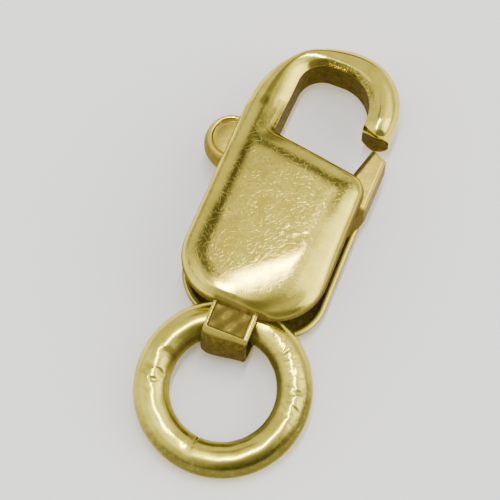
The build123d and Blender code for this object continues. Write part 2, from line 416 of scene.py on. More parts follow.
COLUMNS = 40
TIP_BOW, TIP_DROP, TIP_ROUND = 0.13, 0.34, 0.42
t_row = spread(COLUMNS + 1)
hook_plan = across(outer_hook, inner_hook, t_row)
from_tip = np.concatenate([[0], np.cumsum(np.linalg.norm(np.diff(inner_hook, axis=0), axis=1))])
bow = (1 - np.abs(2 * t_row - 1) ** 1.3)[None, :] * (1 - smooth(from_tip, 0, 0.45))[:, None]
hook_plan[:, :, 1] -= TIP_BOW * bow
hook_top = body_height(hook_plan[..., 0], hook_plan[..., 1])
hook_top -= TIP_DROP * (1 - rounded(from_tip / TIP_ROUND, 2.0))[:, None]
print("hook net:", hook_top.shape, "heights", hook_top.min().round(3), "to", hook_top.max().round(3))

# %% Loops of the hook
RIM, BEVEL, WALL, ROOF_ROUND, ROOF, SHEET = 0.76, 0.09, 0.22, 0.48, 1.28, 0.15
# Painted shade on walls that the plan doesn't show: the opening's inner wall, the tip's end face, the
# shells' hollow and the wall at the foot.
INNER_WALL_SHADE, TIP_END_SHADE, SHELL_HOLLOW_SHADE, FOOT_WALL_SHADE = 1.1, 1.2, 1.4, 0.9
body_points, body_faces = [], []
body_marks = {"olive": [], "flat": [], "dirt_and_shade": []}


def add_points(points, hidden=None, overhang=0.0):
    """Adds points to the body with their marks; a wall that the plan doesn't show takes the given number as
    its painted shade.
    """
    points = np.asarray(points, dtype=float)
    start = sum(len(group) for group in body_points)
    x, y = points[..., 0].ravel(), points[..., 1].ravel()
    body_points.append(points.reshape(-1, 3))
    shown = hidden is None
    body_marks["olive"].append(olive_band(x, y, overhang) if shown else np.zeros(x.size))
    body_marks["flat"].append(flatness(x, y, overhang) if shown else np.zeros(x.size))
    body_marks["dirt_and_shade"].append(dirt_and_shade(x, y) if shown else np.full(x.size, hidden))
    return start + np.arange(x.size).reshape(points.shape[:-1])


def lift(plan, height):
    """Plan points with their heights beside them."""
    return np.concatenate([plan, np.broadcast_to(height, plan.shape[:-1])[..., None]], axis=-1)


top = add_points(lift(hook_plan, hook_top))
under = add_points(lift(hook_plan, -hook_top))
waist = np.minimum(RIM, 0.95 * hook_top)
wall_left = add_points(np.stack([lift(hook_plan[:, 0], s * waist[:, 0]) for s in (1, -1)], axis=1))
wall_right = [lift(hook_plan[:, -1], s * waist[:, -1]) for s in (1, -1)]
wall_right = add_points(np.stack(wall_right, axis=1), INNER_WALL_SHADE)
loops = np.hstack([top, wall_right, under[:, ::-1], wall_left[:, ::-1]])
body_faces.append(quads(loops, closed=True))

tip_middle = [lift(hook_plan[0, 1:-1], s * (waist[0, 1:-1] - 0.02)) for s in (-1, 1)]
tip_low, tip_high = (add_points(points, TIP_END_SHADE) for points in tip_middle)
tip_table = [
    under[0],
    np.concatenate([[wall_left[0, 1]], tip_low, [wall_right[0, 1]]]),
    np.concatenate([[wall_left[0, 0]], tip_high, [wall_right[0, 0]]]),
    top[0],
]
body_faces.append(quads(tip_table))
print("hook loops closed at the tip with", len(tip_low), "inner columns")

# %% [markdown]
# ## The two shells
#
# A shell is thin sheet, so each of its loops comes back on the inside: from the outer edge to the
# bevelled rim, up the inner wall, round to the roof and down the other side. The bevel catches a
# thin line of light all along the slot. The back shell reaches a little further on the gate's
# side, which is the overhang. At the foot both shells are closed by a small wall.

# %% Loops of a shell
SHELL_ROWS = [120, 60, 100]
ROOF_COLUMNS = 7
BACK_OVERHANG = 0.10
CASE_MARKS = [SLOT_END[0], (CASE_LEFT, 2.30), (CASE_LEFT, -0.70), ROOT_LEFT]


def shell_loops(side, overhang, seam_top, seam_walls):
    """One shell from the slot's end to the foot: outside, rim, upright wall, quarter round and roof."""
    inner_marks = [SLOT_END[1], (2.62 + overhang, 2.70), (CASE_RIGHT + overhang, -0.60), ROOT_RIGHT]
    left = tie(outer_outline(), CASE_MARKS, SHELL_ROWS)
    right = tie(inner_outline(overhang), inner_marks, SHELL_ROWS)
    plan = across(left, right, t_row)
    high = body_height(plan[..., 0], plan[..., 1], overhang)
    outside = np.vstack([seam_top[None, :], add_points(lift(plan[1:], side * high[1:]), None, overhang)])
    in_left, in_right = inward(left, 1), inward(right, -1)
    turn = np.radians([0, 30, 60, 90])
    steps = [(WALL, RIM)] + [
        (WALL + ROOF_ROUND * (1 - cos(a)), RIM + 0.04 + ROOF_ROUND * sin(a)) for a in turn
    ]

    def shelf(edge, normal):
        """The points inside one edge, rim first, kept under the outside by the sheet's thickness."""
        plans = np.stack([edge + normal * reach for reach, _ in steps], axis=1)
        under_top = body_height(plans[..., 0], plans[..., 1], overhang) - SHEET
        heights = np.clip(np.minimum([z for _, z in steps], under_top), RIM + 0.002, None)
        heights[:, 0] = RIM
        return lift(plans, side * heights)

    shelf_left, shelf_right = shelf(left, in_left), shelf(right, in_right)
    roof_t = np.linspace(0, 1, ROOF_COLUMNS)[1:-1]
    roof_plan = across(shelf_left[:, -1, :2], shelf_right[:, -1, :2], roof_t)
    roof_high = body_height(roof_plan[..., 0], roof_plan[..., 1], overhang) - SHEET
    roof = lift(roof_plan, side * np.clip(np.minimum(ROOF, roof_high), RIM + 0.002, None))

    def rim(edge, normal, seam):
        """The rim's bright edge along one side, moved in by its bevel, from the hook's own point on."""
        return np.concatenate([[seam], add_points(lift(edge[1:] + BEVEL * normal[1:], side * RIM), 0.0)])

    rim_left, rim_right = rim(left, in_left, seam_walls[0]), rim(right, in_right, seam_walls[1])
    inside = (shelf_left, shelf_right, roof)
    in_shelf, out_shelf, ceiling = (add_points(points, SHELL_HOLLOW_SHADE) for points in inside)
    chain = np.hstack([rim_left[:, None], in_shelf, ceiling, out_shelf[:, ::-1], rim_right[:, None]])
    faces = [quads(np.hstack([outside, chain[:, ::-1]]), closed=True)]

    foot_rows = []
    for k in range(len(steps)):
        a, b = shelf_left[-1, k], shelf_right[-1, k]
        middle = add_points(a + (b - a) * roof_t[:, None], FOOT_WALL_SHADE)
        foot_rows.append(np.concatenate([[in_shelf[-1, k]], middle, [out_shelf[-1, k]]]))
    foot_rows.append(np.concatenate([[in_shelf[-1, -1]], ceiling[-1], [out_shelf[-1, -1]]]))
    faces.append(quads(foot_rows))
    # The lip at the foot takes a little painted shade.
    lip = add_points(lift(plan[-1, 1:-1], side * RIM), 0.3)
    lip = np.concatenate([[rim_left[-1]], lip, [rim_right[-1]]])
    faces.append(quads([outside[-1], lip]))
    flat = np.concatenate([lip[::-1], foot_rows[0]])
    if side < 0:
        faces = [face[:, ::-1] for face in faces]
        flat = flat[::-1]
    body_faces.extend(faces)
    return chain[0], flat


front_chain, front_flat = shell_loops(1, 0.0, top[-1], (wall_left[-1, 0], wall_right[-1, 0]))
back_seams = wall_left[-1, 1], wall_right[-1, 1]
back_chain, back_flat = shell_loops(-1, BACK_OVERHANG, under[-1], back_seams)
body_faces.append(quads([front_chain, back_chain]))
print("shells added, slot wall columns:", len(front_chain))

body_quads = np.vstack(body_faces).tolist() + [front_flat.tolist(), back_flat.tolist()]
body_marks = {mark: np.concatenate(parts) for mark, parts in body_marks.items()}
body = put_mesh("Clasp_Body", np.vstack(body_points), body_quads, 38, body_marks)
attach(body, "case")
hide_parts("clasp_body")

# %% [markdown]
# ## The strip at the foot
#
# A thin strip is soldered to the front shell, folded down round the ring's wire and soldered to
# the back shell. Its front slope carries a small sunk panel, which is left bare and a little
# uneven. The strip is one profile, drawn from the side, carried across its width. Its root is
# kept under the shell's surface, so that it grows out of the shell instead of standing on it.

# %% The strip's folded line
STRIP_LEFT, STRIP_RIGHT, STRIP_THICK = -0.81, 0.85, 0.22
EDGE_DIP, EDGE_REACH = 0.07, 0.11
PANEL_DEPTH, PANEL_TILT, PANEL_LUMPS = 0.035, 0.06, 0.008


def strip_line(count):
    """The outside of the folded strip from the side: slope, knee, foot and their mirror image, y then z."""
    front = [(-2.20, 1.20), (-3.54, 0.93), (-3.97, 0.62)]
    back = [(y, -z) for y, z in reversed(front)]
    return rounded_path(front + back, [0.30, 0.34, 0.34, 0.30], count)


outline = strip_line(240)
normal = inward(outline, 1)
across_t = spread(60, 0.6)
strip_x = STRIP_LEFT + (STRIP_RIGHT - STRIP_LEFT) * across_t
from_left = strip_x - STRIP_LEFT
edge_turn = np.minimum(from_left, STRIP_RIGHT - strip_x)
edge_dip = EDGE_DIP * (1 - rounded(edge_turn / EDGE_REACH, 2.0))
along_y, along_z = outline[:, 0][:, None], outline[:, 1][:, None]
skew = 0.17 * smooth(strip_x, -0.5, 0.85) + 0.16 * (1 - rounded(from_left / 0.45, 2.0))
pull = skew[None, :] * smooth(-along_y, 3.45, 3.95)
in_panel = smooth(from_left, 0.10, 0.17) * smooth(STRIP_RIGHT - strip_x, 0.15, 0.21)
in_panel = in_panel[None, :] * smooth(along_y, -3.50, -3.43) * smooth(-along_y, 2.52, 2.66) * (along_z > 0)
lumps = np.sin(7 * strip_x + 6 * along_y) + np.sin(12 * strip_x - 9 * along_y + 1)
panel_tilt = PANEL_TILT * (STRIP_RIGHT - strip_x) / (STRIP_RIGHT - STRIP_LEFT)
sunk = PANEL_DEPTH + panel_tilt[None, :] + PANEL_LUMPS * lumps
depth = edge_dip[None, :] + sunk * in_panel
print("strip, mm wide:", round(STRIP_RIGHT - STRIP_LEFT, 2))


# %% The strip's two skins
def strip_skin(inset):
    """Points of the folded strip, moved in by an inset; its root stays hidden under the shell's surface."""
    plan_y = along_y + normal[:, 0][:, None] * inset + pull
    plan_z = along_z + normal[:, 1][:, None] * inset
    wide_x = np.broadcast_to(strip_x, plan_y.shape)
    cover = body_height(wide_x, plan_y) - 0.02 + 1.2 * smooth(-plan_y, 2.42, 2.66)
    return np.stack([wide_x, plan_y, np.clip(plan_z, -cover, cover)], axis=-1)


strip_out = strip_skin(depth)
strip_in = strip_skin(np.full_like(depth, STRIP_THICK) - 0.5 * edge_dip[None, :])
count = strip_out.shape[0] * strip_out.shape[1]
out_table = np.arange(count).reshape(strip_out.shape[:2])
in_table = out_table + count
strip_faces = np.vstack([
    quads(np.hstack([out_table, in_table[:, ::-1]]), closed=True),
    quads([in_table[0], out_table[0]]),
    quads([out_table[-1], in_table[-1]]),
])
print("strip skins:", strip_out.shape, "and", strip_in.shape)

# %% The strip's marks and mesh
# The strip's dirt mark is brown grime round the panel's frame and in the panel, and painted shade in the
# crease at the root, over the slope, on the lower facets that face down and on the whole inner skin.
frame_line = smooth(0.5 - np.abs(in_panel - 0.5), 0.02, 0.35)
on_slope = smooth(along_y, -3.70, -3.50) * (along_z > 0)
low_facets = 0.80 * smooth(-along_y, 3.58, 3.80) + 0.35 * smooth(-along_y, 3.40, 3.55) * (1 - in_panel)
root_line = 0.9 * smooth(along_y, -2.66, -2.50)
strip_dirt_and_shade = np.clip(0.9 * frame_line + 0.60 * in_panel + 0.30 * on_slope + root_line + low_facets, 0, 1.3)
strip_marks = {
    "dirt_and_shade": np.stack([np.broadcast_to(strip_dirt_and_shade, depth.shape), np.full(depth.shape, 0.9)]),
    "flat": np.stack([in_panel, 0 * depth]),
    "olive": np.stack([0.6 * in_panel, 0 * depth]),
}
strip_points = np.vstack([strip_out.reshape(-1, 3), strip_in.reshape(-1, 3)])
strip = put_mesh("Tail_Strip", strip_points, strip_faces, 40, strip_marks)
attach(strip, "case")
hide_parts("clasp_body")

# %% [markdown]
# ## The lever: gate arm, cross bar and thumb tab
#
# The lever is a flat plate between the shells. Its gate arm closes the opening and ends in a
# point, with a bevel that was polished bright on the outer side. A ribbon that is mirrored top to
# bottom makes the arm and the bar. The thumb tab is round, with a raised rim and a dish, so it is
# a disc made from rings.

# %% A plate with shaped edges
def plate(name, left, right, height, shading, columns=40):
    """A closed ribbon between two outlines; its half thickness and its marks are given over the plan."""
    plan = across(np.asarray(left), np.asarray(right), spread(columns, 0.7))
    high = height(plan[..., 0], plan[..., 1])
    upper = np.arange(high.size).reshape(high.shape)
    lower = upper + high.size
    faces = np.vstack([
        quads(np.hstack([upper, lower[:, ::-1]]), closed=True),
        quads([lower[0], upper[0]]),
        quads([upper[-1], lower[-1]]),
    ])
    points = np.vstack([lift(plan, high).reshape(-1, 3), lift(plan, -high).reshape(-1, 3)])
    # A plate's marks are painted shade, kept in the dirt and olive marks.
    brown_shade, olive_shade = (np.tile(mark.ravel(), 2) for mark in shading(plan[..., 0], plan[..., 1]))
    marks = {"dirt_and_shade": brown_shade, "olive": olive_shade, "flat": np.full(brown_shade.size, 0.6)}
    return put_mesh(name, points, faces, 35, marks)


GATE_TIP, GATE_SHOULDER, GATE_HEEL = (2.15, 5.01), (2.77, 4.73), (2.77, 2.75)
GATE_NECK = (1.74, 3.52)
GATE_HIGH, BAR_HIGH = 0.66, 0.655


def gate_height(x, y):
    """A flat top, less the deepest of a chamfer by the opening, a bevel outside and one at the end."""
    inner_side = -beside(x, y, GATE_NECK, GATE_TIP)
    outer_side = beside(x, y, GATE_HEEL, GATE_SHOULDER)
    end = beside(x, y, GATE_SHOULDER, GATE_TIP)
    chamfer = 0.24 * np.clip(1 - inner_side / 0.20, 0, 1)
    bevel = 0.13 * np.clip(1 - outer_side / 0.13, 0, 1) ** 1.3
    nose = 0.08 * np.clip(1 - end / 0.07, 0, 1)
    return GATE_HIGH - np.maximum(np.maximum(chamfer, bevel), nose)


def gate_shade_marks(x, y):
    """Painted shade: brown on the chamfer by the opening and inside the slot, olive on the upright outer
    side.
    """
    chamfer = 1 - smooth(-beside(x, y, GATE_NECK, GATE_TIP), 0.14, 0.22)
    outer_side = 1 - smooth(beside(x, y, GATE_HEEL, GATE_SHOULDER), 0.0, 0.02)
    in_slot = smooth(-y, -2.85, -2.65)
    return 1.2 * chamfer + 0.45 * outer_side + in_slot, 1.1 * outer_side


def bar_shade_marks(x, y):
    """A little painted shade all over the bar, which lies in the slot."""
    return 0 * x + 0.3, 0 * x


gate_left = rounded_path([GATE_TIP, GATE_NECK, (1.30, 2.60), (0.46, 0.42)], [0.3, 0.6], 160)
gate_right = rounded_path([GATE_SHOULDER, GATE_HEEL, (1.74, 0.42)], [0.4], 160)
gate = plate("Gate_Arm", gate_left, gate_right, gate_height, gate_shade_marks)
bar_top = rounded_path([(-1.95, 4.02), (-1.42, 4.00), (1.74, 3.45)], [0.3], 60)
bar_foot = rounded_path([(-1.95, 2.83), (-0.40, 2.55), (1.60, 0.30)], [0.6], 60)
bar = plate("Cross_Bar", bar_foot, bar_top, lambda x, y: 0 * x + BAR_HIGH, bar_shade_marks, 12)

# %% [markdown]
# ## Turned pieces of the lever
#
# The thumb tab and the hub are round, so each is a profile turned about an upright axis. The tab
# has a dish, a dark groove and a rolled rim. The hub is a plain sleeve with bevelled ends on the
# pivot pin. It shows only through the slot between the shells, but from the side the lever would
# end in the air without it.

# %% The thumb tab
TAB_CENTRE = np.array([CASE_LEFT, 3.52])


def tab_profile():
    """Distance from the tab's centre and height over its half: dish, groove, raised rim, sloping side."""
    return np.array([
        (0.0, 0.585), (0.25, 0.583), (0.48, 0.576), (0.58, 0.560), (0.62, 0.545), (0.66, 0.560),
        (0.70, 0.610), (0.73, 0.645), (0.77, 0.660), (0.81, 0.648), (0.86, 0.590), (0.91, 0.480),
        (0.95, 0.330), (0.98, 0.190), (1.00, 0.080), (1.00, 0.0),
    ])


def ring_rows(profile, count):
    """The profile turned round the z axis: one row for each profile point, count columns round."""
    angles = np.linspace(0, 2 * pi, count, endpoint=False)
    x = profile[:, :1] * np.cos(angles)[None, :]
    y = profile[:, :1] * np.sin(angles)[None, :]
    return np.stack([x, y, np.broadcast_to(profile[:, 1:], x.shape)], axis=-1)


TAB_COLUMNS = 160
half = tab_profile()
full = np.vstack([half[1:], (half * [1, -1])[::-1][1:-1]])
tab_points = ring_rows(full, TAB_COLUMNS).reshape(-1, 3) + [*TAB_CENTRE, 0.0]
tab_table = np.arange(len(tab_points)).reshape(len(full), TAB_COLUMNS)
tab_quads = quads(tab_table, closed=True).tolist()
for pole, row in ((0, tab_table[0]), (1, tab_table[-1][::-1])):
    pole_column = np.full(TAB_COLUMNS, len(tab_points) + pole)
    tab_quads += np.stack([pole_column, row, np.roll(row, -1)], axis=1).tolist()
tab_all = np.vstack([tab_points, [[*TAB_CENTRE, half[0, 1]], [*TAB_CENTRE, -half[0, 1]]]])

tab_r = np.hypot(*(tab_all[:, :2] - TAB_CENTRE).T)
tab_side = np.degrees(np.arctan2(tab_all[:, 1] - TAB_CENTRE[1], tab_all[:, 0] - TAB_CENTRE[0]))
# Painted shade: the groove, darkest on its upper left, and the sloping side are darkened through the dirt
# and olive marks.
groove = bell(tab_r, 0.63, 0.05) * (0.35 + 0.65 * bell(tab_side, 130, 60))
tab_flank = smooth(tab_r, 0.80, 0.90)
tab_marks = {"dirt_and_shade": groove + 0.5 * tab_flank, "flat": (tab_r < 0.58) * 0.5, "olive": 0.7 * tab_flank}
tab = put_mesh("Thumb_Tab", tab_all, tab_quads, 50, tab_marks)

# %% The hub on the pivot pin
HUB_RADIUS, HUB_BORE, HUB_HALF, HUB_EDGE = 0.75, 0.40, 1.22, 0.05


def hub_profile():
    """The hub's section, turned about the pin: end face, bevel, outside, bevel and end face."""
    outside = HUB_RADIUS - HUB_EDGE
    upper = [(HUB_BORE, HUB_HALF), (outside, HUB_HALF), (HUB_RADIUS, HUB_HALF - HUB_EDGE)]
    return np.array(upper + [(r, -z) for r, z in reversed(upper)])


hub_points = ring_rows(hub_profile(), 96) + PIVOT
hub_table = np.arange(hub_points[..., 0].size).reshape(hub_points.shape[:2])
hub_faces = quads(np.vstack([hub_table, hub_table[:1]]), closed=True)
clean = np.zeros(hub_table.size)
# The hub, which shows only through the slot, is painted dark all over as shade.
hub_marks = {"dirt_and_shade": clean + 0.9, "olive": clean, "flat": clean}
hub = put_mesh("Lever_Hub", hub_points.reshape(-1, 3), hub_faces, 35, hub_marks)
for piece in (gate, bar, tab, hub):
    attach(piece, "lever")
    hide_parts("lever")

# %% [markdown]
# ## The jump ring
#
# The ring is round wire bent to a circle and soldered shut. Its wire is a circle carried round a
# larger circle. Pliers have left nicks on its left side and the solder joint shows as a small
# notch, so the wire's radius is cut back a few hundredths of a millimetre there.

# %% The ring's place and wire
RING_CENTRE = np.array([0.54, -4.977, -0.455])
RING_RADIUS, WIRE_RADIUS, RING_LEAN = 2.51, 0.64, radians(9.29)
NOISE_ROOM = 0.006


def waves(u, v, count, low, high, seed, around=3):
    """Smooth noise round the wire: a sum of cosines in both angles, with seeded waves and phases."""
    pick = np.random.default_rng(seed)
    total = np.zeros(np.broadcast(u, v).shape)
    for _ in range(count):
        m, n = pick.integers(low, high), pick.integers(-around, around + 1)
        total = total + np.cos(m * u + n * v + pick.uniform(0, 2 * pi))
    return total / count**0.5


def patch(u, v, u_at, u_wide, v_at, v_wide):
    """A soft round patch on the wire, centred at two angles in degrees."""
    du = np.abs((u - radians(u_at) + pi) % (2 * pi) - pi) / radians(u_wide)
    dv = np.abs((v - radians(v_at) + pi) % (2 * pi) - pi) / radians(v_wide)
    return np.exp(-(du**2 + dv**2) * 1.4)


def wear(u, v):
    """What is off the wire's radius, in millimetres: plier bites, scuffs and the solder joint's notch."""
    bites = np.clip(waves(u, v, 12, 9, 42, 3, 9), 0, 1.6)
    left = patch(u, v, 190, 13, 92, 52) * (0.010 + 0.050 * bites)
    upper = patch(u, v, 170, 4, 120, 40) * 0.05
    rough = np.clip(waves(u, v, 14, 14, 60, 5, 11), 0, 2)
    right = patch(u, v, 15, 24, 85, 45) * (0.008 + 0.026 * rough)
    scuff = patch(u, v, 50, 14, 95, 45) * 0.018 * np.clip(waves(u, v, 12, 20, 70, 8, 9), 0, 2)
    joint = patch(u, v, 266, 1.5, 150, 34) * 0.08 + patch(u, v, 262.5, 4.5, 125, 50) * 0.020
    return left + upper + right + scuff + joint + 0.004 * waves(u, v, 12, 3, 22, 11)


def wire_angles(turns=620, around=96):
    """The torus's two angles: u round the ring, and v round its wire, 0 outside and 90 degrees on top."""
    u = np.linspace(0, 2 * pi, turns, endpoint=False)[:, None]
    return u, np.linspace(0, 2 * pi, around, endpoint=False)[None, :]


# Each patch: its strength, then its middle and width in u and in v, in degrees.
# Olive is tarnish and painted shade: it darkens the lower outer side and the band next to the highlight
# towards the hole.
OLIVE_PATCHES = [
    (1.45, 285, 80, 36, 30), (1.16, 350, 40, 36, 28), (0.95, 150, 40, 143, 28),
    (0.95, 50, 50, 145, 28), (0.90, 335, 50, 147, 24), (0.60, 235, 50, 150, 15),
]
# Brown is painted shade with some grime, in the ring's hole and low on its outer side.
BROWN_PATCHES = [
    (0.90, 270, 400, 190, 40), (0.75, 50, 55, 150, 24), (0.75, 152, 42, 148, 24),
    (0.60, 335, 45, 155, 20), (0.80, 290, 90, 5, 26),
]


def patch_sum(patches):
    """The sum of soft patches on the wire, each times its strength."""
    u, v = wire_angles()
    return sum(strength * patch(u, v, *place) for strength, *place in patches)


def ring_wire():
    """A torus: the wire's circle carried round the ring's, with the wear taken off the wire's radius."""
    u, v = wire_angles()
    lost = wear(u, v)
    wire = WIRE_RADIUS - NOISE_ROOM - lost
    x = (RING_RADIUS + wire * np.cos(v)) * np.cos(u)
    y = (RING_RADIUS + wire * np.cos(v)) * np.sin(u)
    z = wire * np.sin(v) + 0 * u
    return x, y, z, lost


x, y, z, lost = ring_wire()
lean_y = y * cos(RING_LEAN) - z * sin(RING_LEAN)
lean_z = y * sin(RING_LEAN) + z * cos(RING_LEAN)
ring_points = np.stack([x, lean_y, lean_z], axis=-1) + RING_CENTRE
ring_table = np.arange(x.size).reshape(x.shape)
ring_table = np.vstack([ring_table, ring_table[:1]])
# The ring's dirt mark is darker in the nicks and holds the brown patches of painted shade.
ring_dirt_and_shade = np.clip(lost * 9, 0, 0.8) + patch_sum(BROWN_PATCHES)
ring_olive = np.clip(patch_sum(OLIVE_PATCHES), 0, 1)
ring_marks = {"dirt_and_shade": ring_dirt_and_shade, "flat": np.clip(lost * 14, 0, 1), "olive": ring_olive}
ring = put_mesh("Jump_Ring", ring_points.reshape(-1, 3), quads(ring_table, closed=True), None, ring_marks)
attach(ring, "ring")
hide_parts("jump_ring")

# %% [markdown]
# ## Writing materials as sums
#
# A procedural material is a net of nodes. Wired one by one, such a net is hard to read, so a
# small class wraps a node's socket and lets plain arithmetic add the Math nodes. Any other node
# comes from one method that takes its type, its settings and its inputs.

# %% A socket that can be reckoned with
def operator(operation, swapped=False):
    """A method that adds one Math node; swapped is for the reflected form, as in 1 - mask."""
    return lambda self, other: self.reckon(operation, *((other, self) if swapped else (self, other)))


class Wire:
    """One output socket of a material, with arithmetic that adds Math nodes."""

    def __init__(self, paint, socket):
        self.paint, self.socket = paint, socket

    def reckon(self, operation, *values):
        """Adds one Math node with these wires or numbers on its sockets."""
        return self.paint.node("ShaderNodeMath", {"operation": operation}, dict(enumerate(values)))

    __add__, __radd__ = operator("ADD"), operator("ADD", True)
    __sub__, __rsub__ = operator("SUBTRACT"), operator("SUBTRACT", True)
    __mul__, __rmul__ = operator("MULTIPLY"), operator("MULTIPLY", True)
    __pow__ = operator("POWER")
    at_least, at_most = operator("MAXIMUM"), operator("MINIMUM")

    def __abs__(self):
        return self.reckon("ABSOLUTE", self)

    def step(self, low, high):
        """Rises smoothly from 0 to 1 between two values."""
        return self.paint.node(
            "ShaderNodeMapRange", {"interpolation_type": "SMOOTHSTEP"},
            {"Value": self, "From Min": low, "From Max": high, "To Min": 0.0, "To Max": 1.0})


class Paint:
    """A material's node tree; node() adds any node, with settings first and sockets after them."""

    def __init__(self, owner, shader, coordinates="Object"):
        owner.use_nodes = True
        self.material, self.tree = owner, owner.node_tree
        self.surface = next(n for n in self.tree.nodes if n.type == shader)
        self.place = self.node("ShaderNodeTexCoord", output=coordinates)

    def node(self, kind, settings=None, sockets=None, output=0):
        """Adds one node and gives one of its outputs."""
        made = self.tree.nodes.new(kind)
        for key, value in (settings or {}).items():
            setattr(made, key, value)
        for key, value in (sockets or {}).items():
            if isinstance(value, Wire):
                self.tree.links.new(value.socket, made.inputs[key])
            else:
                made.inputs[key].default_value = value
        return Wire(self, made.outputs[output])

    def mix(self, factor, a, b):
        """A colour between a and b."""
        made = self.tree.nodes.new("ShaderNodeMix")
        made.data_type = "RGBA"
        for socket, value in ((made.inputs[0], factor), (made.inputs[6], a), (made.inputs[7], b)):
            if isinstance(value, Wire):
                self.tree.links.new(value.socket, socket)
            else:
                socket.default_value = value
        return Wire(self, made.outputs[2])

    def vector(self, operation, a, b=(0, 0, 0), scale=None, output=0):
        """One step of vector arithmetic."""
        sockets = {0: a} if scale is not None else {0: a, 1: b}
        made = self.node("ShaderNodeVectorMath", {"operation": operation}, sockets, output)
        if scale is not None:
            made.socket.node.inputs["Scale"].default_value = scale
        return made

    def set(self, socket, value):
        """Feeds one socket of the shader, by a link or by a plain value."""
        if isinstance(value, Wire):
            self.tree.links.new(value.socket, self.surface.inputs[socket])
        else:
            self.surface.inputs[socket].default_value = value

    def axes(self):
        """The object's own x, y and z in drawing millimetres."""
        parts = self.tree.nodes.new("ShaderNodeSeparateXYZ")
        self.tree.links.new(self.place.socket, parts.inputs[0])
        return [Wire(self, parts.outputs[k]) * 1000 - float(SHIFT[k]) for k in range(3)]

    def mark(self, name):
        """A number that the mesh carries at each of its points."""
        return self.node("ShaderNodeAttribute", {"attribute_name": name}, output="Fac")

    def noise(self, scale, detail, rough=0.5):
        """Cloudy noise in the object's own place, with its grain per millimetre."""
        grown = self.node("ShaderNodeMapping", {}, {"Vector": self.place, "Scale": [scale * 1000] * 3})
        return self.node("ShaderNodeTexNoise", {}, {
            "Vector": grown, "Scale": 1.0, "Detail": detail, "Roughness": rough})


# %% [markdown]
# ## Gold finishes
#
# The gold is a greenish yellow of about 14 carat. Its flats are matte from thousands of short
# scratches, its shoulders are still polished, and dirt sits brown in the creases. The same brown
# is painted as shade in hollows, creases and on faces turned from the light, and the olive is
# dull metal and painted shade where the front bends. The marks that the meshes carry say where
# each of these is. A painted image could hold that too, but marks and noise stay sharp at any
# size. Scratches are hairs: each cell of a Voronoi texture is cut by a plane of its own, and the
# thin line along the cut is a short straight scratch. The pale hairs are painted lighter, as
# painted glints. Dirt and painted shade are the only part that isn't metal, and they don't shine.

# %% Scratches
def hairs(paint, cell, width, seed):
    """Short straight scratches: each Voronoi cell is cut by its own random plane through its point."""
    wave = {"Vector": paint.place, "Scale": 900.0, "Detail": 1.0}
    bend = paint.node("ShaderNodeTexNoise", {}, wave, output=1)
    bend = paint.vector("SCALE", bend, scale=0.00016)
    start = paint.vector("ADD", paint.vector("ADD", paint.place, bend), (0.0007 * seed, 0.0013 * seed, 0.0))
    start = paint.vector("SCALE", start, scale=1000 / cell)
    cells = {"Vector": start, "Scale": 1.0, "Randomness": 1.0}
    colour, middle = (paint.node("ShaderNodeTexVoronoi", {}, cells, output=k) for k in (1, 2))
    away = paint.vector("SUBTRACT", start, middle)
    plane = paint.vector("SUBTRACT", colour, (0.5, 0.5, 0.5))
    plane = paint.vector("NORMALIZE", paint.vector("MULTIPLY", plane, (1, 1, 0.35)))
    off = abs(paint.vector("DOT_PRODUCT", away, plane, output=1))
    length = paint.vector("LENGTH", away, output=1)
    return (1 - off.step(0.4 * width / cell, width / cell)) * (1 - length.step(0.30, 0.62))


# Pale hairs are scratches that are also painted lighter, as painted glints.
LIGHT_HAIRS = [(0.50, 0.014, 1), (0.33, 0.012, 2), (0.22, 0.010, 3), (0.17, 0.009, 6)]
DARK_HAIRS = [(0.45, 0.013, 4), (0.26, 0.010, 5), (0.16, 0.009, 7)]


def scratches(paint, layers):
    """Several sizes of hairs laid over each other, each as cell size, width and seed."""
    first, *others = (hairs(paint, *layer) for layer in layers)
    for other in others:
        first = first.at_least(other)
    return first


# %% The gold itself
def shade(colour, *factors):
    """A colour with its red, green and blue each taken down."""
    return [c * k for c, k in zip(colour, factors)] + [1]


